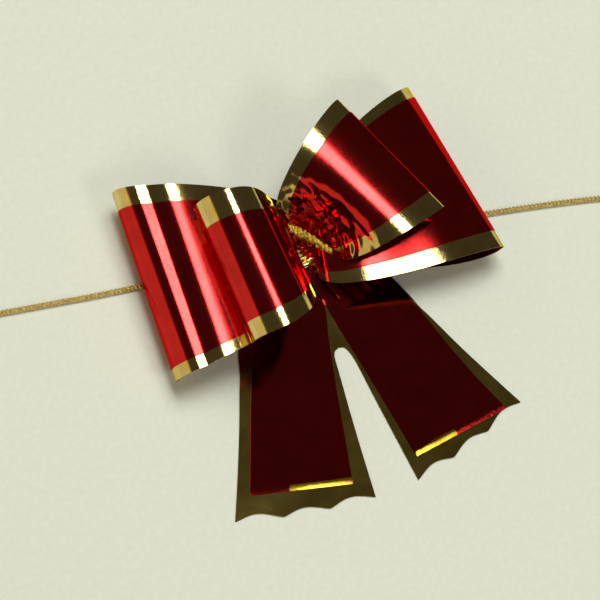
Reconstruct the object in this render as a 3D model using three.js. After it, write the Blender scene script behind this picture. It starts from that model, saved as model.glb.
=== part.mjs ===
// Pre-made gift bow of two-colour metallised film on a gold elastic cord.
//
// Millimetres, +Z up. +X runs along the loops, the tails lie towards -Y, and the elastic runs
// out both ways along X. The pieces are laid out about the tie, which stands at X = 0, Y = 0 on
// the surface that the bow lies on, and the last lines move the origin to the middle of the bow.
// Each band of film is one long strip in the real bow. Here it is cut at the two lines where it
// flexes, beside the tie, so that every loop and every tail can turn on its own hinge.

import * as THREE from 'three';

// ---- driving dimensions ----------------------------------------------------------------------

const film = 0.35;                 // thickness of a gold film solid
const redFilm = 0.3;               // thickness of a red film solid
const gap = 0.3;                   // clearance between neighbouring solids
const elasticDiameter = 1.2;
const tieDiameter = 0.6;

const waistHalfLength = 2.9;       // the gathered films inside the tie reach this far along X
const waistHalfWidth = 4.2;        // and this far along Y
const pleats = 5;                  // folds across each gathered film
const loopStart = waistHalfLength + gap + film / 2 + 0.05;

const floorClearance = elasticDiameter + gap + film / 2;  // lower loops lie over the elastic

// Heights of the gathered films at the waist, counted up from the surface.
const elasticWaistHeight = tieDiameter + gap + elasticDiameter / 2;
const tailWaistHeight = elasticWaistHeight + elasticDiameter / 2 + gap;
const pleatHeight = 0.75;
const lowerWaistHeight = tailWaistHeight + pleatHeight + gap;
const bandPleatHeight = 1.2;
const upperWaistHeight = lowerWaistHeight + bandPleatHeight + gap;
const tieTop = upperWaistHeight + bandPleatHeight + gap + tieDiameter;

// Each loop is a strip that leaves the waist low, turns over at its fold and comes back high.
// far is the edge away from the tails and near the one beside them. tip is the end of the fold
// in plan. bulge is how far the edge of the top leg swells, in plan, before it is gathered, and
// lean says how far out its steep climb from the waist begins, as a share of the reach.
const loops = {
  lower_loop_left: {
    foldHeight: 6, underFold: 4.2, overFold: 7, crest: 8.6, underRun: 0.5,
    low: lowerWaistHeight + 0.15, high: lowerWaistHeight + 0.85, under: floorClearance + 0.1,
    far: { tip: [-31.3, 21.6], bulge: [0, 9], lean: 0.16, underBulge: 1 },
    near: { tip: [-34.2, -17.5], bulge: [0, -10], lean: 0.16, underBulge: 1 },
    red: [0.10, 0.935],
  },
  lower_loop_right: {
    foldHeight: 6, underFold: 4.2, overFold: 6, crest: 8.6, underRun: 0.5,
    low: lowerWaistHeight + 0.15, high: lowerWaistHeight + 0.85, under: floorClearance + 0.1,
    far: { tip: [32.5, 22.4], bulge: [0, 8], lean: 0.16, underBulge: 1 },
    near: { tip: [36.8, -14.3], bulge: [-1, -12], lean: 0.16, underBulge: -6 },
    red: [0.065, 0.90],
  },
  upper_loop_left: {
    foldHeight: 17.5, underFold: 5, overFold: 8.4, crest: 21, underRun: 0.08,
    low: upperWaistHeight + 0.35, high: upperWaistHeight + 1.05, under: upperWaistHeight + 7.9,
    far: { tip: [-20.4, 10.9], bulge: [0, 6], lean: 0.16, underBulge: 0 },
    near: { tip: [-20.4, -18.1], bulge: [1, -12], lean: 0.16, underBulge: 0 },
    red: [0.18, 0.87],
  },
  upper_loop_right: {
    foldHeight: 17, underFold: 4.5, overFold: 6, crest: 16, underRun: 0.08,
    low: upperWaistHeight + 0.35, high: upperWaistHeight + 1.05, under: upperWaistHeight + 7.9,
    far: { tip: [14.3, 21.8], bulge: [-8, 9], lean: 0.2, underBulge: 2 },
    near: { tip: [26.3, -5.1], bulge: [1, -8], lean: 0.2, underBulge: -1 },
    red: [0.12, 0.86],
  },
};

// The tails are one die-cut sheet, the same on both sides of X = 0. Points of the right half.
const tail = {
  rootOuter: [17.9, -17.0],        // outer end of the line where the tail flexes
  rootInner: [1.9, -21.6],         // inner end of that line, beside the notch
  outerTip: { left: [32.4, -46.0], right: [29.8, -43.4] },
  innerTip: [4.6, -50.8],
  notchTop: -20.7,
  shoulder: [11.5, -6.5],          // the sheet spreads from the waist to here
  earHalfWidth: 4.6,
  earTop: -2.2,
  tieSlotHalfWidth: 1.6,
  tieSlotBottom: -6.4,
  scallops: 3,
  scallopDepth: 1.2,
  endArc: 0.8,                     // the end bows outwards by this much between its tips
};

const panel = {                    // the red film laid on each tail, right half
  apex: [0.6, -11.2],
  outerTop: [16.0, -14.6],
  outerTip: { left: [27.8, -42.2], right: [26.2, -43.4] },
  innerTip: [6.2, -46.4],
  shoulder: [10.0, -7.6],
};

// ---- materials -------------------------------------------------------------------------------

const goldFilm = { color: 0xb08f2e, roughness: 0.3, metalness: 0.9 };
const redMetalFilm = { color: 0x9c1420, roughness: 0.3, metalness: 0.9 };
const goldCord = { color: 0xc9a646, roughness: 0.45, metalness: 0.8 };

const bow = new THREE.Group();

function addPart(name, geometry, finish) {
  const mesh = new THREE.Mesh(geometry, new THREE.MeshStandardMaterial(finish));
  mesh.name = name;
  bow.add(mesh);
  return mesh;
}

// ---- film surfaces ---------------------------------------------------------------------------

// A closed solid that follows surface(u, v) for u and v from 0 to 1, offset along its normal.
function sheetSolid(surface, thickness, offset, uSteps, vSteps) {
  const corner = (i, j) => surface(i / uSteps, j / vSteps);
  const positions = [];
  for (const side of [1, -1]) {
    for (let i = 0; i <= uSteps; i += 1) {
      for (let j = 0; j <= vSteps; j += 1) {
        const alongU = corner(i + 0.05, j).sub(corner(i - 0.05, j));
        const alongV = corner(i, j + 0.05).sub(corner(i, j - 0.05));
        const normal = alongU.cross(alongV).normalize();
        const shift = offset + (side * thickness) / 2;
        positions.push(...corner(i, j).addScaledVector(normal, shift).toArray());
      }
    }
  }
  const layer = (uSteps + 1) * (vSteps + 1);
  const top = (i, j) => i * (vSteps + 1) + j;
  const bottom = (i, j) => layer + top(i, j);
  const triangles = [];
  const quad = (a, b, c, d) => triangles.push(a, b, c, a, c, d);
  for (let i = 0; i < uSteps; i += 1) {
    for (let j = 0; j < vSteps; j += 1) {
      quad(top(i, j), top(i + 1, j), top(i + 1, j + 1), top(i, j + 1));
      quad(bottom(i, j), bottom(i, j + 1), bottom(i + 1, j + 1), bottom(i + 1, j));
    }
    quad(top(i, 0), bottom(i, 0), bottom(i + 1, 0), top(i + 1, 0));
    quad(top(i, vSteps), top(i + 1, vSteps), bottom(i + 1, vSteps), bottom(i, vSteps));
  }
  for (let j = 0; j < vSteps; j += 1) {
    quad(top(0, j), top(0, j + 1), bottom(0, j + 1), bottom(0, j));
    quad(top(uSteps, j), bottom(uSteps, j), bottom(uSteps, j + 1), top(uSteps, j + 1));
  }
  const geometry = new THREE.BufferGeometry();
  geometry.setAttribute('position', new THREE.Float32BufferAttribute(positions, 3));
  geometry.setIndex(triangles);
  return geometry;
}

// The two curves of one edge of a loop: waist to fold below, and fold to waist above.
function loopEdge(loop, edge, side) {
  const hand = Math.sign(edge.tip[0]);
  const tip = new THREE.Vector2(...edge.tip);
  const start = new THREE.Vector2(hand * loopStart, side * (waistHalfWidth - 1.2));
  const finish = new THREE.Vector2(hand * loopStart, side * waistHalfWidth);
  const reach = tip.clone().sub(finish);
  const at = (plan, z) => new THREE.Vector3(plan.x, plan.y, z);
  const underStart = start.clone().lerp(tip, loop.underRun);
  underStart.y += edge.underBulge;
  const climb = finish.clone().addScaledVector(reach, edge.lean);
  climb.add(new THREE.Vector2(...edge.bulge));
  return [
    new THREE.CubicBezierCurve3(
      at(start, loop.low), at(underStart, loop.under),
      at(tip, loop.foldHeight - loop.underFold), at(tip, loop.foldHeight)),
    new THREE.CubicBezierCurve3(
      at(tip, loop.foldHeight), at(tip, loop.foldHeight + loop.overFold),
      at(climb, loop.high + loop.crest), at(finish, loop.high)),
  ];
}

// The loop as a surface: u runs along the strip from waist to waist, v from far to near edge.
function loopSurface(loop) {
  const far = loopEdge(loop, loop.far, 1);
  const near = loopEdge(loop, loop.near, -1);
  return (u, v) => {
    const leg = u < 0.5 ? 0 : 1;
    const along = u * 2 - leg;
    return far[leg].getPoint(along).lerp(near[leg].getPoint(along), v);
  };
}

// The right-hand loops run the other way round, so the outside of the strip is always the
// side that the offset moves towards.
function part(surface, [fromU, toU], [fromV, toV], mirrored) {
  return (u, v) => {
    const across = mirrored ? 1 - v : v;
    return surface(fromU + (toU - fromU) * u, fromV + (toV - fromV) * across);
  };
}

const stripSteps = 26;
const redStart = 0.46;             // the red strip begins just under the fold
const redEnd = 0.90;               // and ends where the film is gathered
const redOffset = film / 2 + gap + redFilm / 2 + 0.1;

for (const [name, loop] of Object.entries(loops)) {
  const surface = loopSurface(loop);
  const mirrored = loop.far.tip[0] < 0;
  addPart(`${name}_gold`,
    sheetSolid(part(surface, [0, 1], [0, 1], mirrored), film, 0, stripSteps, 3), goldFilm);
  addPart(`${name}_red`,
    sheetSolid(part(surface, [redStart, redEnd], loop.red, mirrored),
      redFilm, redOffset, stripSteps / 2, 2), redMetalFilm);
}

// ---- waist: the films where the tie gathers them ----------------------------------------------

// A fan-folded film seen from the end of the waist, drawn out along X.
function pleatedWaist(height, centre) {
  const folds = pleats * 2;
  const outline = [];
  const fold = (i, lift) => {
    const y = -waistHalfWidth + (2 * waistHalfWidth * i) / folds;
    const z = (i % 2 === 0 ? -0.5 : 0.5) * (height - film) + lift;
    return new THREE.Vector2(y, z);
  };
  for (let i = 0; i <= folds; i += 1) outline.push(fold(i, film / 2));
  for (let i = folds; i >= 0; i -= 1) outline.push(fold(i, -film / 2));
  const geometry = new THREE.ExtrudeGeometry(new THREE.Shape(outline),
    { depth: 2 * waistHalfLength, bevelEnabled: false });
  geometry.translate(0, 0, -waistHalfLength);
  geometry.rotateX(Math.PI / 2);
  geometry.rotateZ(Math.PI / 2);
  geometry.translate(0, 0, centre);
  return geometry;
}

addPart('tail_sheet_waist', pleatedWaist(pleatHeight, tailWaistHeight + pleatHeight / 2), goldFilm);
addPart('lower_band_waist',
  pleatedWaist(bandPleatHeight, lowerWaistHeight + bandPleatHeight / 2), redMetalFilm);
addPart('upper_band_waist',
  pleatedWaist(bandPleatHeight, upperWaistHeight + bandPleatHeight / 2), redMetalFilm);

// ---- tie: gold cord wound round the waist, its ends twisted together on top ---------------------

function roundSection(diameter, sides) {
  const section = new THREE.Shape();
  for (let i = 0; i < sides; i += 1) {
    const angle = (2 * Math.PI * (i + 0.5)) / sides;
    const x = (diameter / 2) * Math.cos(angle);
    const y = (diameter / 2) * Math.sin(angle);
    if (i === 0) section.moveTo(x, y);
    else section.lineTo(x, y);
  }
  section.closePath();
  return section;
}

function tube(points, diameter, sides, steps) {
  const path = new THREE.CatmullRomCurve3(points.map((p) => new THREE.Vector3(...p)));
  return new THREE.ExtrudeGeometry(roundSection(diameter, sides),
    { steps, extrudePath: path, bevelEnabled: false });
}

function tieTurns() {
  const turns = 2;
  const pointsPerTurn = 16;
  const halfWidth = waistHalfWidth + gap + tieDiameter;
  const bottom = tieDiameter / 2;
  const halfHeight = (tieTop - bottom) / 2;
  const pitch = tieDiameter + gap;
  const points = [];
  for (let i = 0; i <= turns * pointsPerTurn; i += 1) {
    const angle = (2 * Math.PI * i) / pointsPerTurn;
    const squareness = 0.5;          // a superellipse hugs the flat bundle of films
    const round = (value) => Math.sign(value) * Math.abs(value) ** squareness;
    points.push([
      pitch * (i / pointsPerTurn - turns / 2),
      halfWidth * round(Math.sin(angle)),
      bottom + halfHeight + halfHeight * round(Math.cos(angle)),
    ]);
  }
  return tube(points, tieDiameter, 6, 72);
}

function tieTwist() {
  const length = 7.4;
  const thickest = 0.95;
  const lean = 0.6;
  const profile = [[0, -1], [0.55, -0.97], [0.8, -0.6], [1, 0], [0.8, 0.6], [0.55, 0.97], [0, 1]]
    .map(([r, h]) => new THREE.Vector2(r * thickest, (h * length) / 2));
  const geometry = new THREE.LatheGeometry(profile, 10);
  geometry.rotateZ(lean);
  geometry.translate(0, 0, tieTop + tieDiameter / 2 + gap + thickest);
  return geometry;
}

addPart('waist_tie', tieTurns(), goldCord);
addPart('tie_twist', tieTwist(), goldCord);

// ---- tails -------------------------------------------------------------------------------------

function flatSheet(outline, bottom, thickness, hand) {
  const points = outline.map(([x, y]) => new THREE.Vector2(hand * x, y));
  const shape = new THREE.Shape(hand < 0 ? points.reverse() : points);
  const geometry = new THREE.ExtrudeGeometry(shape, { depth: thickness, bevelEnabled: false });
  return geometry.translate(0, 0, bottom);
}

const mix = ([ax, ay], [bx, by], t) => [ax + (bx - ax) * t, ay + (by - ay) * t];

// The end of a tail, from its inner to its outer tip: shallow bites between sharp points.
function scallopedEnd(outerTip) {
  const { innerTip, scallops, scallopDepth, endArc } = tail;
  const stepsEach = 6;
  const points = [];
  for (let i = 0; i <= scallops * stepsEach; i += 1) {
    const along = i / (scallops * stepsEach);
    const [x, y] = mix(innerTip, outerTip, along);
    const bite = scallopDepth * Math.abs(Math.sin((Math.PI * i) / stepsEach));
    points.push([x, y + bite - endArc * Math.sin(Math.PI * along)]);
  }
  return points;
}

// Moves a point away from the flex line and towards the tail's end, to leave a gap there.
const beyondFlex = ([x, y]) => [x, y - gap];

const flexPoint = (x) => mix(tail.rootInner, tail.rootOuter,
  (x - tail.rootInner[0]) / (tail.rootOuter[0] - tail.rootInner[0]));
const panelFlexInner = flexPoint(2.4);
const panelFlexOuter = flexPoint(17.0);

const redBottom = film + gap;
for (const [side, hand] of [['left', -1], ['right', 1]]) {
  const goldOutline = [beyondFlex(tail.rootInner), ...scallopedEnd(tail.outerTip[side]),
    beyondFlex(tail.rootOuter)];
  const redOutline = [beyondFlex(panelFlexInner), panel.innerTip, panel.outerTip[side],
    beyondFlex(panelFlexOuter)];
  addPart(`tail_${side}_gold`, flatSheet(goldOutline, 0, film, hand), goldFilm);
  addPart(`tail_${side}_red`, flatSheet(redOutline, redBottom, redFilm, hand), redMetalFilm);
}

// Joins a right-hand outline, listed from the middle out and back, to its mirror image.
function mirroredOutline(rightHalf) {
  const leftHalf = rightHalf.map(([x, y]) => [-x, y]).reverse();
  return [...rightHalf, ...leftHalf];
}

const tailRootOutline = mirroredOutline([
  [0.7, tail.notchTop], tail.rootInner, tail.rootOuter, tail.shoulder,
  [tail.earHalfWidth, tail.earTop], [tail.tieSlotHalfWidth, tail.earTop],
  [tail.tieSlotHalfWidth, tail.tieSlotBottom],
]);
const panelRootOutline = mirroredOutline([
  panel.apex, panelFlexInner, panelFlexOuter, panel.outerTop, panel.shoulder,
  [tail.earHalfWidth - 0.8, tail.earTop - 2], [tail.tieSlotHalfWidth, tail.earTop - 2],
  [tail.tieSlotHalfWidth, tail.tieSlotBottom - 0.4],
]);
addPart('tail_root_gold', flatSheet(tailRootOutline, 0, film, 1), goldFilm);
addPart('tail_root_red', flatSheet(panelRootOutline, redBottom, redFilm, 1), redMetalFilm);

// ---- elastic: taut both ways, each run ending in the knot that closes the loop ------------------

const elasticRest = elasticDiameter / 2;
const elasticRuns = {
  left: [[-0.15, 0, elasticWaistHeight], [-2.2, 0.3, elasticWaistHeight], [-6, 0.8, 0.95],
    [-12, 1.6, elasticRest], [-24, 3.1, elasticRest], [-36, 4.6, elasticRest],
    [-48, 6.4, elasticRest], [-60, 8.3, elasticRest], [-66, 9.3, elasticRest]],
  right: [[0.15, 0, elasticWaistHeight], [2.2, -0.3, elasticWaistHeight], [6, -0.8, 0.95],
    [12, -1.6, elasticRest], [24, -3.2, elasticRest], [36, -4.8, elasticRest],
    [48, -7.0, elasticRest], [60, -9.6, elasticRest], [68, -11.5, elasticRest]],
};
const knotRadius = 1.6;

for (const [side, points] of Object.entries(elasticRuns)) {
  addPart(`elastic_${side}`, tube(points, elasticDiameter, 8, 26), goldCord);
  const end = new THREE.Vector3(...points.at(-1));
  const outward = end.clone().sub(new THREE.Vector3(...points.at(-2))).setZ(0).normalize();
  const knot = new THREE.SphereGeometry(knotRadius, 12, 8);
  knot.scale(1.3, 1, 1);
  knot.rotateZ(Math.atan2(outward.y, outward.x));
  const centre = end.addScaledVector(outward, knotRadius * 1.3 + gap);
  knot.translate(centre.x, centre.y, knotRadius);
  addPart(`elastic_knot_${side}`, knot, goldCord);
}

// ---- origin: under the middle of the bow itself, without its elastic ------------------------------

const bowBox = new THREE.Box3();
for (const piece of bow.children) {
  if (!piece.name.startsWith('elastic')) bowBox.expandByObject(piece);
}
const middle = bowBox.getCenter(new THREE.Vector3());
bow.position.set(-middle.x, -middle.y, 0);

export default bow;
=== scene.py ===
import math

import bpy
import numpy as np
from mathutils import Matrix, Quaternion, Vector


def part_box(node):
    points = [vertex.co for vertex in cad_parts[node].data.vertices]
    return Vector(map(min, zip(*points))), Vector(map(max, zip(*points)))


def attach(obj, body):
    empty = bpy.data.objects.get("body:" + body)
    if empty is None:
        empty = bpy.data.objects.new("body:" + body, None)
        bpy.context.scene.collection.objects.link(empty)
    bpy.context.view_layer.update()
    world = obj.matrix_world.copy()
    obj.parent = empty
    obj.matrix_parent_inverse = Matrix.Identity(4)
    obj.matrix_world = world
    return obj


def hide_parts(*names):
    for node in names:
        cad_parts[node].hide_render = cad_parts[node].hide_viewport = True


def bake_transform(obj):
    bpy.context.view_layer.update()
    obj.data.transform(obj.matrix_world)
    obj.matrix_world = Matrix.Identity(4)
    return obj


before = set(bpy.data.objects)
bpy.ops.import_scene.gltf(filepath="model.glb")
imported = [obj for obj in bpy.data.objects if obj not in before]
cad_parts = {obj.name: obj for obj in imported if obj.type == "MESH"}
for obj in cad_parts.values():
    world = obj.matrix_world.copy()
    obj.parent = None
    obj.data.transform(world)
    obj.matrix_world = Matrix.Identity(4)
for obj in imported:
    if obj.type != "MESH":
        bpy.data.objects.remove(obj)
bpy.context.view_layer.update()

# The bow is described in millimetres about its tie, with +X along the loops, -Y towards the
# tails and +Z off the gift, and every piece is moved to the tie's own place in the frame.
MM = 0.001
tie_low, tie_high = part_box("waist_tie")
TIE = Vector(((tie_low.x + tie_high.x) / 2, (tie_low.y + tie_high.y) / 2, 0.0))

FILM = 0.09            # thickness of the gold film
RED_FILM = 0.07        # thickness of the red film laid on it
RED_LIFT = 0.05        # the red film stands this far off the gold
ELASTIC = 1.2          # diameter of the elastic
ELASTIC_RIBS = 0.28    # its thread stands out by this share of its radius
TIE_CORD = 0.6         # diameter of the cord wound round the waist
TIE_SLANT = 0.75       # the cord crosses the top of the waist this far in -X for each step in +Y


def place(point):
    """A point given in millimetres about the tie, in the frame."""
    return TIE + Vector(point) * MM


# ---- camera, lights and floor ------------------------------------------------------------------

def make_camera():
    elevation, heading, roll = math.radians(69.0), math.radians(40.0), math.radians(28.5)
    distance, aim = 0.858, place((-3.28, -8.98, 0.0))
    look = Vector((math.cos(heading) * math.cos(elevation),
                   math.sin(heading) * math.cos(elevation), -math.sin(elevation)))
    data = bpy.data.cameras.new("camera")
    data.lens = 264.0
    data.sensor_width = 36.0
    data.clip_start, data.clip_end = 0.05, 20.0
    camera = bpy.data.objects.new("camera", data)
    camera.location = aim - look * distance
    camera.rotation_mode = "QUATERNION"
    camera.rotation_quaternion = look.to_track_quat("-Z", "Y") @ Quaternion((0, 0, 1), roll)
    bpy.context.scene.collection.objects.link(camera)
    bpy.context.scene.camera = camera


def make_light(name, direction, distance, size, watts, mirrored=True):
    """A soft box seen from the bow in that direction, facing it. The film can mirror it or not."""
    data = bpy.data.lights.new(name, "AREA")
    data.shape = "RECTANGLE"
    data.size, data.size_y = size
    data.energy = watts
    light = bpy.data.objects.new(name, data)
    towards = Vector(direction).normalized()
    light.location = place((0, -8, 5)) + towards * distance
    light.rotation_mode = "QUATERNION"
    light.rotation_quaternion = (-towards).to_track_quat("-Z", "Y")
    light.visible_camera = False
    light.visible_glossy = mirrored
    bpy.context.scene.collection.objects.link(light)


def make_world():
    """A dim room with a pale backdrop low down, bright only behind the left loops."""
    world = bpy.data.worlds.new("studio")
    world.use_nodes = True
    nodes, links = world.node_tree.nodes, world.node_tree.links
    nodes.clear()
    coords = nodes.new("ShaderNodeTexCoord")
    split = nodes.new("ShaderNodeSeparateXYZ")
    height = nodes.new("ShaderNodeValToRGB")
    sideways = nodes.new("ShaderNodeMapRange")
    backdrop = nodes.new("ShaderNodeMix")
    background = nodes.new("ShaderNodeBackground")
    output = nodes.new("ShaderNodeOutputWorld")
    set_stops(height, ((0.0, (0.68, 0.63, 0.54)), (0.25, (0.64, 0.56, 0.43)),
                       (0.62, (0.72, 0.56, 0.34)), (0.68, (0.055, 0.046, 0.036)),
                       (1.0, (0.060, 0.050, 0.040))))
    sideways.inputs["From Min"].default_value = -0.5
    sideways.inputs["From Max"].default_value = 0.1
    backdrop.data_type = "RGBA"
    backdrop.inputs["B"].default_value = (0.050, 0.043, 0.034, 1.0)
    links.new(coords.outputs["Generated"], split.inputs[0])
    links.new(split.outputs["Z"], height.inputs[0])
    links.new(split.outputs["X"], sideways.inputs["Value"])
    links.new(sideways.outputs[0], backdrop.inputs["Factor"])
    links.new(height.outputs[0], backdrop.inputs["A"])
    links.new(backdrop.outputs["Result"], background.inputs["Color"])
    links.new(background.outputs[0], output.inputs[0])
    bpy.context.scene.world = world


def make_floor():
    half = 2.5
    mesh = bpy.data.meshes.new("floor")
    mesh.from_pydata([(-half, -half, 0), (half, -half, 0), (half, half, 0), (-half, half, 0)],
                     [], [(0, 1, 2, 3)])
    floor = bpy.data.objects.new("floor", mesh)
    bpy.context.scene.collection.objects.link(floor)
    material, nodes, links, shader = new_material("pale_card")
    shader.inputs["Roughness"].default_value = 0.75
    noise = add_noise(nodes, links, scale=900.0, detail=4.0)
    ramp = add_ramp(nodes, links, noise, ((0.3, (0.70, 0.735, 0.61)), (0.7, (0.74, 0.775, 0.65))))
    links.new(ramp.outputs[0], shader.inputs["Base Color"])
    floor.data.materials.append(material)


# ---- materials ---------------------------------------------------------------------------------

def new_material(name):
    material = bpy.data.materials.new(name)
    material.use_nodes = True
    nodes, links = material.node_tree.nodes, material.node_tree.links
    return material, nodes, links, nodes["Principled BSDF"]


def add_noise(nodes, links, scale, detail=2.0):
    """Noise in the object's own space, so it stays on the surface in every view."""
    coords = nodes.new("ShaderNodeTexCoord")
    noise = nodes.new("ShaderNodeTexNoise")
    noise.inputs["Scale"].default_value = scale
    noise.inputs["Detail"].default_value = detail
    links.new(coords.outputs["Object"], noise.inputs["Vector"])
    return noise


def set_stops(ramp, stops):
    elements = ramp.color_ramp.elements
    while len(elements) < len(stops):
        elements.new(0.5)
    for element, (position, colour) in zip(elements, stops):
        element.position = position
        element.color = (*colour, 1.0)


def add_ramp(nodes, links, source, stops):
    ramp = nodes.new("ShaderNodeValToRGB")
    set_stops(ramp, stops)
    links.new(source.outputs["Fac"], ramp.inputs[0])
    return ramp


def add_bump(nodes, links, shader, source, strength, distance):
    bump = nodes.new("ShaderNodeBump")
    bump.inputs["Strength"].default_value = strength
    bump.inputs["Distance"].default_value = distance
    links.new(source.outputs["Fac"], bump.inputs["Height"])
    links.new(bump.outputs[0], shader.inputs["Normal"])


def film_material(name, dark, light, roughness, coat, grain):
    """Metallised film: a coloured mirror under clear lacquer, with a fine grain."""
    material, nodes, links, shader = new_material(name)
    shader.inputs["Metallic"].default_value = 1.0
    shader.inputs["Coat Weight"].default_value = coat
    shader.inputs["Coat Roughness"].default_value = roughness * 0.8
    shader.inputs["Coat IOR"].default_value = 1.5
    shader.inputs["Specular Tint"].default_value = (*light, 1.0)
    tint = add_noise(nodes, links, scale=220.0, detail=3.0)
    ramp = add_ramp(nodes, links, tint, ((0.3, dark), (0.7, light)))
    links.new(ramp.outputs[0], shader.inputs["Base Color"])
    haze = add_noise(nodes, links, scale=500.0, detail=2.0)
    scatter = nodes.new("ShaderNodeMapRange")
    scatter.inputs["To Min"].default_value = roughness * 0.8
    scatter.inputs["To Max"].default_value = roughness * 1.25
    links.new(haze.outputs["Fac"], scatter.inputs["Value"])
    links.new(scatter.outputs[0], shader.inputs["Roughness"])
    pebble = add_noise(nodes, links, scale=3800.0, detail=2.0)
    add_bump(nodes, links, shader, pebble, grain, 0.00003)
    return material


def cord_material(name, dark, light, roughness, metallic):
    material, nodes, links, shader = new_material(name)
    shader.inputs["Metallic"].default_value = metallic
    shader.inputs["Roughness"].default_value = roughness
    tint = add_noise(nodes, links, scale=2600.0, detail=2.0)
    ramp = add_ramp(nodes, links, tint, ((0.35, dark), (0.65, light)))
    links.new(ramp.outputs[0], shader.inputs["Base Color"])
    fibre = add_noise(nodes, links, scale=6000.0, detail=2.0)
    add_bump(nodes, links, shader, fibre, 0.3, 0.00003)
    return material


GOLD = film_material("gold_film", (0.66, 0.50, 0.15), (0.82, 0.66, 0.25), 0.08, 0.10, 0.3)
# The tails' gold film is grainier than the loops' gold. Its darker base is painted shade for the flat
# tails, which mirror the dim room.
SHADED_FLAT_GOLD = film_material("shaded_flat_gold_film", (0.58, 0.43, 0.08), (0.80, 0.64, 0.16), 0.10, 0.06, 0.5)
RED = film_material("red_film", (0.56, 0.022, 0.020), (0.66, 0.028, 0.024), 0.11, 0.06, 0.12)
# The tails' red film has its own gloss and grain. Its darker base is painted shade for the flat tails,
# which mirror the dim room.
SHADED_FLAT_RED = film_material("shaded_flat_red_film", (0.50, 0.020, 0.020), (0.60, 0.026, 0.024), 0.07, 0.12, 0.3)
LINING = film_material("red_reverse", (0.32, 0.008, 0.014), (0.40, 0.012, 0.02), 0.22, 0.2, 0.3)
CUT_EDGE = film_material("cut_edge", (0.75, 0.66, 0.40), (0.85, 0.76, 0.52), 0.30, 0.0, 0.1)
RED_EDGE = film_material("red_cut_edge", (0.55, 0.05, 0.05), (0.65, 0.08, 0.07), 0.30, 0.0, 0.1)
CORD = cord_material("gold_thread", (0.45, 0.32, 0.08), (0.80, 0.64, 0.24), 0.25, 0.6)
GLITTER = cord_material("gold_glitter", (0.30, 0.12, 0.01), (1.0, 0.80, 0.08), 0.22, 0.35)
# The tie's turns take a darker, more orange copy of the gold thread: painted shade where they wind round
# the waist.
SHADED_TIE_THREAD = cord_material("shaded_tie_thread", (0.45, 0.20, 0.02), (0.80, 0.45, 0.06), 0.25, 1.0)
YELLOW = film_material("yellow_film", (0.85, 0.48, 0.03), (0.95, 0.66, 0.06), 0.12, 0.0, 0.2)


# ---- meshes ------------------------------------------------------------------------------------

def grid_normals(points):
    """Unit normals of a grid of points, from its two directions."""
    normals = np.cross(np.gradient(points, axis=0), np.gradient(points, axis=1))
    return normals / np.maximum(np.linalg.norm(normals, axis=2, keepdims=True), 1e-9)


def new_piece(name, vertices, faces, materials, kinds=None, sharp=None):
    """A smooth-shaded object from vertices in millimetres about the tie."""
    mesh = bpy.data.meshes.new(name)
    placed = np.asarray(vertices) * MM + np.array(TIE)
    mesh.from_pydata(placed.tolist(), [], [list(map(int, face)) for face in faces])
    for material in materials:
        mesh.materials.append(material)
    count = len(mesh.polygons)
    mesh.polygons.foreach_set("use_smooth", np.ones(count, bool))
    if kinds is not None:
        mesh.polygons.foreach_set("material_index", np.minimum(kinds, len(materials) - 1))
    if sharp is not None:
        ends = np.empty(len(mesh.edges) * 2, int)
        mesh.edges.foreach_get("vertices", ends)
        mesh.edges.foreach_set("use_edge_sharp", sharp(ends.reshape(-1, 2)))
    mesh.update()
    piece = bpy.data.objects.new(name, mesh)
    bpy.context.scene.collection.objects.link(piece)
    return piece


def shell(name, points, thickness, offset, materials, strip=None):
    """A thin closed film along a grid of points in millimetres. The outside takes the first
    material, the inside the second and the cut edges the third. strip marks the outside faces,
    as a grid of true and false, that take the fourth."""
    rows, columns = points.shape[:2]
    normals = grid_normals(points)
    outer = points + normals * (offset + thickness / 2)
    inner = points + normals * (offset - thickness / 2)
    vertices = np.concatenate([outer.reshape(-1, 3), inner.reshape(-1, 3)])
    layer = rows * columns
    index = np.arange(layer).reshape(rows, columns)
    top = np.stack([index[:-1, :-1], index[1:, :-1], index[1:, 1:], index[:-1, 1:]], -1)
    top = top.reshape(-1, 4)
    round_rim = np.concatenate([index[:-1, 0], index[-1, :-1], index[:0:-1, -1], index[0, :0:-1]])
    onward = np.roll(round_rim, -1)
    rim = np.stack([round_rim, round_rim + layer, onward + layer, onward], axis=-1)
    faces = np.concatenate([top, top[:, ::-1] + layer, rim])
    outside = np.zeros(len(top), int)
    if strip is not None:
        outside[strip.reshape(-1)] = 3
    kinds = np.concatenate([outside, np.full(len(top), 1), np.full(len(rim), 2)])

    def is_rim_edge(ends):
        row, column = np.divmod(ends % layer, columns)
        same_side = np.zeros(len(ends), bool)
        for place_in_grid, last in ((row, rows - 1), (column, columns - 1)):
            for side in (0, last):
                same_side |= (place_in_grid == side).all(axis=1)
        return same_side & (ends[:, 0] // layer == ends[:, 1] // layer)

    return new_piece(name, vertices, faces, materials, kinds, is_rim_edge)


def tube_grid(path, radius, sides, ribs=0.0, pitch=1.0, lean=1.0):
    """A ring of points round every point of a path, ribbed by a wrap that winds along it."""
    path = np.asarray(path, float)
    tangent = np.gradient(path, axis=0)
    tangent /= np.linalg.norm(tangent, axis=1, keepdims=True)
    side = np.cross(tangent, (0.0, 0.0, 1.0))
    flat = np.linalg.norm(side, axis=1) < 0.2
    side[flat] = np.cross(tangent[flat], (0.0, 1.0, 0.0))
    side /= np.linalg.norm(side, axis=1, keepdims=True)
    up = np.cross(side, tangent)
    travelled = np.concatenate([[0.0], np.cumsum(np.linalg.norm(np.diff(path, axis=0), axis=1))])
    angle = np.linspace(0, 2 * math.pi, sides, endpoint=False)
    phase = travelled[:, None] * 2 * math.pi / pitch + lean * angle[None, :]
    swell = radius * (1 + ribs * (np.abs(np.sin(phase / 2)) ** 0.7 * 2 - 1))
    ring = side[:, None, :] * np.cos(angle)[None, :, None] + up[:, None, :] * np.sin(angle)[None, :, None]
    return path[:, None, :] + ring * swell[:, :, None]


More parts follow.
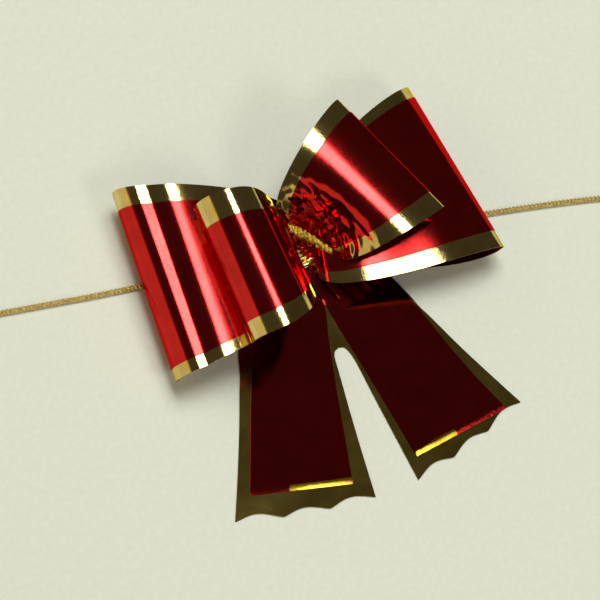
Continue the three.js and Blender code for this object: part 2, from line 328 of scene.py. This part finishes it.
def tube_faces(rings, sides, first=0):
    """Faces of a tube of rings, closed by a fan at each end round its last two vertices."""
    index = first + np.arange(rings * sides).reshape(rings, sides)
    after = np.roll(index, -1, axis=1)
    body = np.stack([index[:-1], after[:-1], after[1:], index[1:]], axis=-1).reshape(-1, 4)
    start, end = first + rings * sides, first + rings * sides + 1
    faces = body.tolist()
    faces += [(after[0, k], index[0, k], start) for k in range(sides)]
    faces += [(index[-1, k], after[-1, k], end) for k in range(sides)]
    return faces


def tubes(name, paths, radius, sides, materials, ribs=0.0, pitch=1.0, lean=1.0):
    """One object made of a ribbed cord along each path."""
    vertices, faces = [], []
    for path in paths:
        rings = tube_grid(path, radius, sides, ribs, pitch, lean)
        faces += tube_faces(len(rings), sides, len(vertices))
        vertices += rings.reshape(-1, 3).tolist() + [list(path[0]), list(path[-1])]
    return new_piece(name, vertices, faces, materials)


def bezier(points, t):
    p = [np.asarray(q, float) for q in points]
    t = t[:, None]
    return ((1 - t) ** 3 * p[0] + 3 * (1 - t) ** 2 * t * p[1]
            + 3 * (1 - t) * t ** 2 * p[2] + t ** 3 * p[3])


def spline(points, count):
    """A smooth path through given points, evenly sampled."""
    points = np.asarray(points, float)
    padded = np.vstack([2 * points[0] - points[1], points, 2 * points[-1] - points[-2]])
    dense = []
    for i in range(1, len(padded) - 2):
        a, b, c, d = padded[i - 1:i + 3]
        t = np.linspace(0, 1, 40, endpoint=False)[:, None]
        dense.append(0.5 * (2 * b + (c - a) * t + (2 * a - 5 * b + 4 * c - d) * t ** 2
                            + (3 * b - a - 3 * c + d) * t ** 3))
    dense = np.vstack(dense + [points[-1:]])
    travelled = np.concatenate([[0], np.cumsum(np.linalg.norm(np.diff(dense, axis=0), axis=1))])
    even = np.linspace(0, travelled[-1], count)
    return np.stack([np.interp(even, travelled, dense[:, k]) for k in range(3)], axis=1)


# ---- loops -------------------------------------------------------------------------------------

WAIST_HALF_WIDTH = 4.2
TAIL_WAIST = 2.4       # underside of each gathered film inside the tie
LOWER_WAIST = 3.45
UPPER_WAIST = 4.95
LOOP_START = 3.4       # the loops' curves end this far from the tie
TUCK = 0.03            # share of a strip's length, at each end, that runs on in under the tie
TUCK_END = 0.6         # to here
BELLY_START = 0.72     # a top leg's belly runs from this share of the strip's length to the tie
BELLY_PEAK = 6.75      # scales the belly's curve to 1 at its highest
PLEATS = 6             # folds across a strip where it is drawn up at the waist
PLEAT_DEPTH = 0.55
FACET_SIZE = 3.6       # the crumpled film's flats are about this wide
FINE_GRID = (321, 121)     # points along and across a strip while it is shaped
GOLD_GRID = (281, 97)      # and in the pieces
RED_GRID = (265, 73)
RED_REACH = (0.04, 0.98)   # share of the strip's length that the red film covers

# Each loop is a strip that leaves the waist low, turns over at its fold and comes back high.
# fold is how high the fold is. under_fold and over_fold pull the film straight down and up from
# it, and so set how round it is. low and high are where the strip leaves and meets the waist.
# The bottom leg heads for the height under, after under_run of its way out, and under_bulge
# moves it sideways. tip is the end of the fold in plan, and root the end of the top leg, where
# it isn't straight across the waist. swell is where the top leg's steep climb from the waist
# leans to, in plan from its end at the waist, and crest is how high. throw pushes the top leg
# outwards past the fold, as a share of the reach. belly moves the middle of the top leg near
# the waist, and tuck is how much of the usual tuck it takes. bends are soft lines pressed into
# the film along the fold: their share of the strip's length, depth and width as a share. red is
# the share of the width that the red film covers, and gather the share of a leg that is
# pleated and crumpled, with facets for depth.
# Most of tip, swell, crest, throw, over_fold and bends was not set by hand. Scratch programs
# fitted these curves to outlines and highlights measured in the photo, and their rounded
# results stand here.
LOOPS = {
    "lower_loop_left": dict(
        fold=6.0, under_fold=4.2, over_fold=9.7, under_run=0.5,
        low=LOWER_WAIST + 0.15, high=LOWER_WAIST + 0.85, under=1.8,
        far=dict(tip=(-31.3, 21.6), swell=(12.0, 3.7), crest=10.4, throw=0.126, under_bulge=1.0),
        near=dict(tip=(-34.2, -17.5), swell=(4.8, -14.5), crest=10.4, throw=0.043, under_bulge=1.0),
        bends=((0.629, -0.5, 0.022), (0.862, 0.7, 0.032), (0.785, -0.1, 0.008)),
        red=(0.10, 0.935), seed=3, gather=0.24, facets=0.34),
    "lower_loop_right": dict(
        fold=6.0, under_fold=4.2, over_fold=10.5, under_run=0.5,
        low=LOWER_WAIST + 0.15, high=LOWER_WAIST + 0.85, under=1.8,
        far=dict(tip=(32.5, 22.4), swell=(-0.9, 10.8), crest=13.6, throw=0.0, under_bulge=1.0),
        near=dict(tip=(36.8, -14.3), swell=(-15.0, -10.1), crest=4.0, throw=0.115, under_bulge=-6.0),
        bends=((0.654, 0.26, 0.037), (0.732, -0.41, 0.058), (0.9, 0.5, 0.039)),
        red=(0.065, 0.90), seed=5, gather=0.26, facets=0.34),
    "upper_loop_left": dict(
        fold=17.5, under_fold=5.0, over_fold=8.4, under_run=0.08,
        low=UPPER_WAIST + 0.35, high=UPPER_WAIST + 1.05, under=UPPER_WAIST + 7.9,
        far=dict(tip=(-20.4, 10.9), swell=(-0.5, 7.2), crest=21.2, throw=0.0, under_bulge=0.0),
        near=dict(tip=(-20.4, -18.1), swell=(1.5, -17.7), crest=20.5, throw=0.0, under_bulge=0.0),
        bends=((0.64, -0.2, 0.05), (0.75, 0.3, 0.06), (0.745, -0.03, 0.006)),
        red=(0.18, 0.87), seed=7, gather=0.24, facets=0.34),
    "upper_loop_right": dict(
        fold=17.0, under_fold=4.5, over_fold=4.3, under_run=0.08,
        low=UPPER_WAIST + 0.35, high=UPPER_WAIST + 1.05, under=UPPER_WAIST + 7.9,
        far=dict(tip=(14.0, 20.7), root=(-1.6, 4.4), swell=(-10.7, 2.1), crest=11.9,
                 throw=0.348, under_bulge=2.0),
        near=dict(tip=(25.4, -5.3), root=(4.4, -4.6), swell=(-3.0, -7.9), crest=13.2,
                  throw=0.134, under_bulge=-1.0),
        belly=(3.0, 2.0, -0.5), tuck=0.3,
        bends=((0.623, -0.095, 0.034), (0.77, 0.20, 0.051), (0.817, -0.444, 0.059),
               (0.705, 0.06, 0.030), (0.80, -0.09, 0.009)),
        red=(0.12, 0.86), seed=11, gather=0.50, facets=0.6),
}


def loop_edge(loop, edge, side, share):
    """Points of one edge of a loop for shares of its length from waist to waist."""
    hand = math.copysign(1.0, edge["tip"][0])
    tip = np.array(edge["tip"])
    start = np.array((hand * LOOP_START, side * (WAIST_HALF_WIDTH - 1.2)))
    finish = np.array(edge.get("root", (hand * LOOP_START, side * WAIST_HALF_WIDTH)))
    reach = tip - finish
    under = start + (tip - start) * loop["under_run"] + (0.0, edge["under_bulge"])
    climb = finish + edge["swell"]
    thrown = tip + reach * edge["throw"]
    lower = ((*start, loop["low"]), (*under, loop["under"]),
             (*tip, loop["fold"] - loop["under_fold"]), (*tip, loop["fold"]))
    upper = ((*tip, loop["fold"]), (*thrown, loop["fold"] + loop["over_fold"]),
             (*climb, loop["high"] + edge["crest"]), (*finish, loop["high"]))
    curved = np.clip((share - TUCK) / (1 - 2 * TUCK), 0, 1)
    below = curved < 0.5
    points = np.empty((len(share), 3))
    points[below] = bezier(lower, curved[below] * 2)
    points[~below] = bezier(upper, curved[~below] * 2 - 1)
    tucked = np.clip(1 - np.minimum(share, 1 - share) / TUCK, 0, 1)
    points[:, 0] += tucked * hand * (TUCK_END - LOOP_START) * loop.get("tuck", 1.0)
    return points


def loop_surface(loop, share, across):
    """The smooth strip, straight from its far edge to its near one but for the belly."""
    far = loop_edge(loop, loop["far"], 1, share)
    near = loop_edge(loop, loop["near"], -1, share)
    v = across[None, :, None]
    points = far[:, None, :] * (1 - v) + near[:, None, :] * v
    near_root = np.clip((share - BELLY_START) / (1 - TUCK - BELLY_START), 0, 1)[:, None, None]
    belly = BELLY_PEAK * (1 - near_root) * near_root ** 2 * 4 * v * (1 - v)
    return points + belly * np.array(loop.get("belly", (0.0, 0.0, 0.0)))


def bend_height(loop, share):
    """How far the film stands off its smooth curve, from the bends along the fold."""
    height = np.zeros(len(share))
    for middle, depth, width in loop["bends"]:
        height += depth * np.exp(-((share - middle) / width) ** 2)
    return height


def fold_wave(phase):
    """Sharp creases between rounded pleats, from -1 to 1."""
    return 2 * np.abs(np.sin(phase / 2)) ** 0.8 - 1


def crumple(along, across, size, seed, layers=7):
    """Sharp-edged random facets: triangle waves in several directions, from about -1 to 1."""
    generator = np.random.default_rng(seed)
    height = np.zeros(np.broadcast(along, across).shape)
    for layer in range(layers):
        heading = generator.uniform(0, math.pi)
        wavelength = size * generator.uniform(0.5, 1.6)
        phase = generator.uniform(0, 1)
        run = (along * math.cos(heading) + across * math.sin(heading)) / wavelength + phase
        run = run + 0.18 * np.sin(2 * math.pi * (along - across) / (size * 2.7) + layer)
        height += (2 * np.abs(2 * (run - np.floor(run + 0.5))) - 1) * wavelength / size
    return height / math.sqrt(layers)


def pleated(points, share, across, loop):
    """Draws the film into pleats that run out from the waist and fade along each leg."""
    generator = np.random.default_rng(loop["seed"])
    jitter = generator.uniform(0, 2 * math.pi, 6)
    nearness = np.clip(1 - np.minimum(share, 1 - share) / 0.5 / loop["gather"], 0, 1)[:, None]
    v = across[None, :]
    wander = 0.5 * np.sin(3 * math.pi * v + jitter[0]) + 0.3 * np.sin(7 * v + jitter[1])
    wave = fold_wave(2 * math.pi * (PLEATS * v + wander) + jitter[2])
    travelled = np.linalg.norm(np.diff(points.mean(axis=1), axis=0), axis=1)
    along = np.concatenate([[0.0], np.cumsum(travelled)])[:, None]
    breadth = np.linalg.norm(points[:, -1] - points[:, 0], axis=1)[:, None]
    facets = crumple(along, v * breadth, FACET_SIZE, loop["seed"])
    lift = PLEAT_DEPTH * nearness ** 1.7 * wave + loop["facets"] * nearness ** 1.4 * facets
    edge_fade = np.clip(np.minimum(v, 1 - v) / 0.05, 0.4, 1)
    height = lift * edge_fade + bend_height(loop, share)[:, None]
    return points + grid_normals(points) * height[:, :, None]


def loop_grid(loop, share_range, across_range, size):
    """The loop's film as a grid: rows run along the strip, columns from edge to edge."""
    full_share = np.linspace(0, 1, FINE_GRID[0])
    full_across = np.linspace(0, 1, FINE_GRID[1])
    points = loop_surface(loop, full_share, full_across)
    if loop["far"]["tip"][0] < 0:
        points = points[:, ::-1]
        across_range = (1 - across_range[1], 1 - across_range[0])
    points = pleated(points, full_share, full_across, loop)
    wanted_share = np.linspace(*share_range, size[0])
    wanted_across = np.linspace(*across_range, size[1])
    return resample(points, full_share, full_across, wanted_share, wanted_across)


def resample(points, rows_at, columns_at, wanted_rows, wanted_columns):
    """Reads a grid at other rows and columns by straight lines between its points."""
    by_row = np.stack([[np.interp(wanted_rows, rows_at, points[:, j, k])
                        for j in range(points.shape[1])] for k in range(3)])
    out = np.stack([[np.interp(wanted_columns, columns_at, by_row[k][:, i])
                     for i in range(len(wanted_rows))] for k in range(3)])
    return np.moveaxis(out, 0, 2)


def make_loops():
    for name, loop in LOOPS.items():
        gold_grid = loop_grid(loop, (0, 1), (0, 1), GOLD_GRID)
        red_grid = loop_grid(loop, RED_REACH, loop["red"], RED_GRID)
        gold = shell(name + "_gold_film", gold_grid, FILM, 0.0, (GOLD, LINING, CUT_EDGE))
        lift = FILM / 2 + RED_LIFT + RED_FILM / 2
        red = shell(name + "_red_film", red_grid, RED_FILM, lift, (RED, RED, RED_EDGE))
        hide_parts(name + "_gold")
        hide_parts(name + "_red")
        for piece, grid in ((gold, gold_grid), (red, red_grid)):
            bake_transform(piece)


# ---- waist, tie and elastic ----------------------------------------------------------------------

def make_waist():
    """The three films squeezed inside the tie, each drawn up into fine pleats."""
    films = (("tail_sheet_waist", TAIL_WAIST, 0.75, 6, 21),
             ("lower_band_waist", LOWER_WAIST, 1.2, 7, 22),
             ("upper_band_waist", UPPER_WAIST, 1.2, 8, 23))
    half_length = 2.9
    margin_columns = 14
    for node, bottom, height, folds, seed in films:
        x = np.linspace(-half_length, half_length, 61)[:, None]
        v = np.linspace(0, 1, 161)[None, :]
        y = (v - 0.5) * 2 * WAIST_HALF_WIDTH * (0.93 + 0.07 * (x / half_length) ** 2)
        pinch = 0.55 + 0.45 * (x / half_length) ** 2
        wave = fold_wave(2 * math.pi * folds * v + 0.9 * np.sin(5 * v + seed) + 0.25 * x)
        rough = crumple(x, y * 1.6, 2.2, seed)
        z = bottom + height / 2 + height * (0.36 * wave * pinch + 0.11 * rough)
        grid = np.stack(np.broadcast_arrays(x, y, z), axis=-1)
        margin = np.zeros((60, 160), bool)
        margin[:, :margin_columns] = True
        margin[:, -margin_columns:] = True
        piece = shell(node + "_film", grid, FILM, 0.0, (RED, LINING, CUT_EDGE, GOLD), margin)
        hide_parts(node)
        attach(piece, "waist")


def make_tie():
    """Two turns of gold cord round the films, and its ends twisted together on top."""
    tie_top = tie_high.z / MM
    bottom = TIE_CORD / 2
    half_height = (tie_top - bottom * 2) / 2
    angle = np.linspace(0, 4 * math.pi, 260)

    def squared(value):
        return np.sign(value) * np.abs(value) ** 0.5

    across = (WAIST_HALF_WIDTH + 0.9) * squared(np.sin(angle))
    above = half_height * squared(np.cos(angle))
    slant = -TIE_SLANT * across * (0.5 + 0.5 * above / half_height)
    turns = np.stack([0.9 + 0.6 * (angle / (2 * math.pi) - 1) + slant, across,
                      bottom + half_height + above], axis=1)
    turns = spline(turns[::4], 420)
    # The turns' thread is darkened: painted shade.
    wound = tubes("tie_turns", [turns], TIE_CORD / 2, 10, (SHADED_TIE_THREAD,), ribs=0.22, pitch=0.42)
    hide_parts("waist_tie")
    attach(wound, "waist")

    twist_low, twist_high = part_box("tie_twist")
    middle = np.array(((twist_low.x + twist_high.x) / 2 - TIE.x,
                       (twist_low.y + twist_high.y) / 2 - TIE.y, twist_low.z + 0.0016)) / MM
    run = np.linspace(-1, 1, 260)
    axis = middle + np.stack([3.5 * run, -4.3 * run, 1.0 - 0.5 * run ** 2], axis=1)
    strands = []
    for strand in range(3):
        phase = strand * math.pi * 2 / 3
        swell = 0.42 * (1 - 0.45 * run ** 2) + 0.22 * np.sin(23 * run + 2 * phase)
        turn = 13 * run + phase + 0.8 * np.sin(5 * run + strand)
        wobble = np.stack([swell * np.cos(turn) * 0.78, swell * np.cos(turn) * 0.62,
                           swell * np.sin(turn)], axis=1)
        strands.append(axis + wobble)
    twist = tubes("tie_twist_strands", strands, 0.32, 8, (GLITTER,), ribs=0.35, pitch=0.8)
    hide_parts("tie_twist")
    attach(twist, "waist")


# The elastic's route, repeated from the model, about the tie in millimetres.
ELASTIC_RUNS = {
    "left": ((-0.15, 0, 1.5), (-2.2, 0.3, 1.5), (-6, 0.8, 0.95), (-12, 1.6, 0.6),
             (-18, 2.35, 0.6), (-24, 3.1, 0.6), (-30, 3.85, 0.6), (-36, 4.6, 0.6),
             (-42, 5.45, 0.6), (-48, 6.4, 0.6), (-54, 7.35, 0.6), (-60, 8.3, 0.6),
             (-63, 8.8, 0.6), (-64.5, 9.05, 0.6), (-66, 9.3, 0.6)),
    "right": ((0.15, 0, 1.5), (2.2, -0.3, 1.5), (6, -0.8, 0.95), (12, -1.6, 0.6),
              (18, -2.4, 0.6), (24, -3.2, 0.6), (30, -4.0, 0.6), (36, -4.8, 0.6),
              (42, -5.85, 0.6), (48, -7.0, 0.6), (54, -8.25, 0.6), (60, -9.6, 0.6),
              (64, -10.55, 0.6), (66, -11.0, 0.6), (68, -11.5, 0.6)),
}


def make_knot(side):
    """The overhand knot that closes the elastic, pulled down tight."""
    low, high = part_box("elastic_knot_" + side)
    centre = (np.array((low + high) / 2) - np.array(TIE)) / MM
    half = np.array(high - low) / 2 / MM
    turn = np.linspace(0, 2 * math.pi, 181)
    loops_of_knot = np.stack([(np.sin(turn) + 2 * np.sin(2 * turn)) / 3 * (half[0] - 0.5),
                              (np.cos(turn) - 2 * np.cos(2 * turn)) / 3 * (half[1] - 0.5),
                              -np.sin(3 * turn) * (half[2] - 0.65)], axis=1)
    knot = tubes("knot_" + side, [centre + loops_of_knot], ELASTIC * 0.5, 12, (CORD,),
                 ribs=0.10, pitch=0.72)
    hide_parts("elastic_knot_" + side)
    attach(knot, "waist")
    return knot


def make_elastics():
    """Each run of the elastic: thread wrapped round a core at a slant, taut to its knot."""
    for side, points in ELASTIC_RUNS.items():
        route = spline(points, 900)
        run = tubes("elastic_run_" + side, [route], ELASTIC / 2 / (1 + ELASTIC_RIBS), 14, (CORD,),
                    ribs=ELASTIC_RIBS, pitch=0.8, lean=1.0 if side == "left" else -1.0)
        knot = make_knot(side)
        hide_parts("elastic_" + side)
        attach(run, "waist")


# ---- tails ---------------------------------------------------------------------------------------

# Each half of the tail sheet runs from under the tie to its scalloped end, in plan. A point of
# an inner edge pairs with the same point of the outer edge. yellow is the share of the red
# panel's raised end that shines yellow. The outlines started from photo points that a scratch
# program carried into the bow's plane, and were then adjusted.
TAILS = {
    "left": dict(
        hand=-1, yellow=0.62,
        inner=((0, -1.0), (0, -8), (0, -14), (0, -19.6), (-0.05, -20.6), (-0.9, -21.0),
               (-1.5, -22.2), (-1.9, -25), (-3.0, -33), (-4.1, -42), (-5.1, -50.9)),
        outer=((-4.2, -1.0), (-11.5, -6.5), (-17.6, -12.0), (-19.6, -16.4), (-19.9, -17.4),
               (-20.2, -18.2), (-20.6, -19.4), (-21.6, -21.6), (-24.6, -28.6), (-28.6, -37.3),
               (-32.8, -46.0)),
        red_inner=((0, -1.0), (0.2, -7.5), (0.75, -11.4), (-1.2, -18.6), (-3.4, -26.8),
                   (-5.9, -37), (-8.3, -46.9)),
        red_outer=((-4.0, -1.0), (-10.8, -8.0), (-15.5, -13.6), (-18.0, -19.2), (-21.7, -27.4),
                   (-24.6, -34.2), (-28.1, -42.2))),
    "right": dict(
        hand=1, yellow=0.45,
        inner=((0, -1.0), (0, -8), (0, -14), (0, -19.6), (0.05, -20.6), (0.9, -20.9),
               (1.5, -21.8), (2.0, -24), (2.6, -32), (3.3, -41), (4.1, -50.7)),
        outer=((4.2, -1.0), (11.5, -6.0), (15.6, -10.8), (17.2, -14.6), (17.6, -15.6),
               (18.0, -16.8), (18.5, -18.4), (19.4, -20.4), (22.4, -27.6), (25.8, -35.2),
               (29.6, -43.2)),
        red_inner=((0, -1.0), (0.3, -7.5), (0.85, -11.2), (1.75, -18.0), (2.9, -25.5),
                   (4.2, -35), (5.8, -46.2)),
        red_outer=((4.0, -1.0), (10.6, -6.6), (15.5, -12.2), (18.0, -18.2), (20.3, -26.2),
                   (23.0, -34.8), (26.2, -43.4))),
}
SCALLOPS = 3
SCALLOP_DEPTH = 1.25
SCALLOPED_END = 0.20   # the bites reach this share of the tail's length up from its end
PANEL_BEVEL = 1.1      # width of the slope at the end of the red panel
PANEL_LIFT = 0.5       # how high the panel stands there
PANEL_CLEARANCE = 0.10
TAIL_ROWS = 260
TAIL_COLUMNS = 110
PANEL_COLUMNS = 100


def tail_height(y):
    """The film lies on the gift, and rises under the tie towards the waist."""
    return 0.12 + 2.7 * np.clip((y + 13.5) / 12.0, 0, 1) ** 1.7


def tail_grid(inner, outer, rows, columns):
    """Straight rows between the two edges of a tail, as a flat grid."""
    edges = []
    at = np.linspace(0, len(inner) - 1, rows)
    for side in (inner, outer):
        x, y = np.transpose(side)
        edges.append(np.stack([monotone(at, x), monotone(at, y)], axis=1))
    v = np.linspace(0, 1, columns)[None, :, None]
    return edges[0][:, None, :] * (1 - v) + edges[1][:, None, :] * v


def monotone(at, values):
    """A smooth curve through values at 0, 1, 2 and so on, which never overshoots them."""
    step = np.diff(values)
    slope = np.zeros(len(values))
    both = step[:-1] * step[1:] > 0
    slope[1:-1][both] = 2 * step[:-1][both] * step[1:][both] / (step[:-1] + step[1:])[both]
    slope[0], slope[-1] = step[0], step[-1]
    low = np.minimum(at.astype(int), len(values) - 2)
    t = at - low
    return ((1 + 2 * t) * (1 - t) ** 2 * values[low] + t * (1 - t) ** 2 * slope[low]
            + t ** 2 * (3 - 2 * t) * values[low + 1] + t ** 2 * (t - 1) * slope[low + 1])


def scalloped(plan):
    """Bites into the last rows of a tail, with soft points between and sharp ones outside."""
    rows, columns = plan.shape[:2]
    across = np.linspace(0, 1, columns)
    bite = SCALLOP_DEPTH * np.abs(np.sin(math.pi * SCALLOPS * across)) ** 1.25
    bulge = 0.8 * np.sin(math.pi * across)
    near_end = np.clip((np.linspace(0, 1, rows) - (1 - SCALLOPED_END)) / SCALLOPED_END, 0, 1) ** 1.5
    out = plan.copy()
    out[:, :, 1] += near_end[:, None] * (bite - bulge)[None, :]
    return out


def raised(plan, lift):
    """Stands a flat grid on the gift with the slight waves of film that has been folded."""
    x, y = plan[:, :, 0], plan[:, :, 1]
    wave = 0.05 * np.sin(0.21 * x + 0.16 * y + 1) + 0.035 * np.sin(0.33 * x - 0.27 * y + 2)
    near_waist = np.clip((y + 13.0) / 11.0, 0, 1)
    pleat = 0.18 * near_waist * fold_wave(2 * math.pi * 5 * np.linspace(0, 1, x.shape[1])[None, :])
    z = tail_height(y) + 0.09 + wave + pleat + lift
    return np.dstack([x, y, z])


def red_panel(tail):
    """The red film on a tail, raised at its end, and which of its faces shine yellow there."""
    plan = tail_grid(tail["red_inner"], tail["red_outer"], TAIL_ROWS, PANEL_COLUMNS)
    down = np.linspace(0, 1, TAIL_ROWS)[:, None]
    to_end = np.linalg.norm(plan[-1:] - plan, axis=2)
    slope = np.clip(to_end / PANEL_BEVEL, 0, 1)
    grid = raised(plan, PANEL_CLEARANCE + PANEL_LIFT * down ** 8 * slope)
    yellow = to_end[1:, 1:] < PANEL_BEVEL * 0.92
    yellow &= np.linspace(0, 1, PANEL_COLUMNS - 1)[None, :] < tail["yellow"]
    return grid, yellow


def make_tails():
    for side, tail in TAILS.items():
        hand = tail["hand"]
        plan = scalloped(tail_grid(tail["inner"], tail["outer"], TAIL_ROWS, TAIL_COLUMNS))
        gold_grid = raised(plan, 0.0)
        red_grid, yellow = red_panel(tail)
        if hand < 0:
            gold_grid, red_grid = gold_grid[:, ::-1], red_grid[:, ::-1]
            yellow = yellow[:, ::-1]
        # Both tail films have darkened bases: painted shade.
        gold = shell(f"tail_{side}_gold_film", gold_grid, FILM, 0.0, (SHADED_FLAT_GOLD, LINING, CUT_EDGE))
        red = shell(f"tail_{side}_red_film", red_grid, RED_FILM, 0.0, (SHADED_FLAT_RED, RED, RED_EDGE, YELLOW),
                    yellow)
        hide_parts(f"tail_{side}_gold", "tail_root_gold")
        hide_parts(f"tail_{side}_red", "tail_root_red")
        for piece, grid in ((gold, gold_grid), (red, red_grid)):
            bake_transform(piece)


make_camera()
make_elastics()
make_world()
make_floor()
make_light("strip_light", (-0.04, 0.15, 0.98), 0.9, (0.16, 0.36), 2.1)
make_light("room_light", (0.12, 0.25, 0.98), 1.2, (0.60, 0.60), 8.0, mirrored=False)
make_light("front_card", (0.25, -0.60, 0.76), 0.9, (0.25, 0.20), 1.2)
bpy.context.scene.view_settings.view_transform = "Standard"
make_loops()
make_waist()
make_tie()
make_tails()
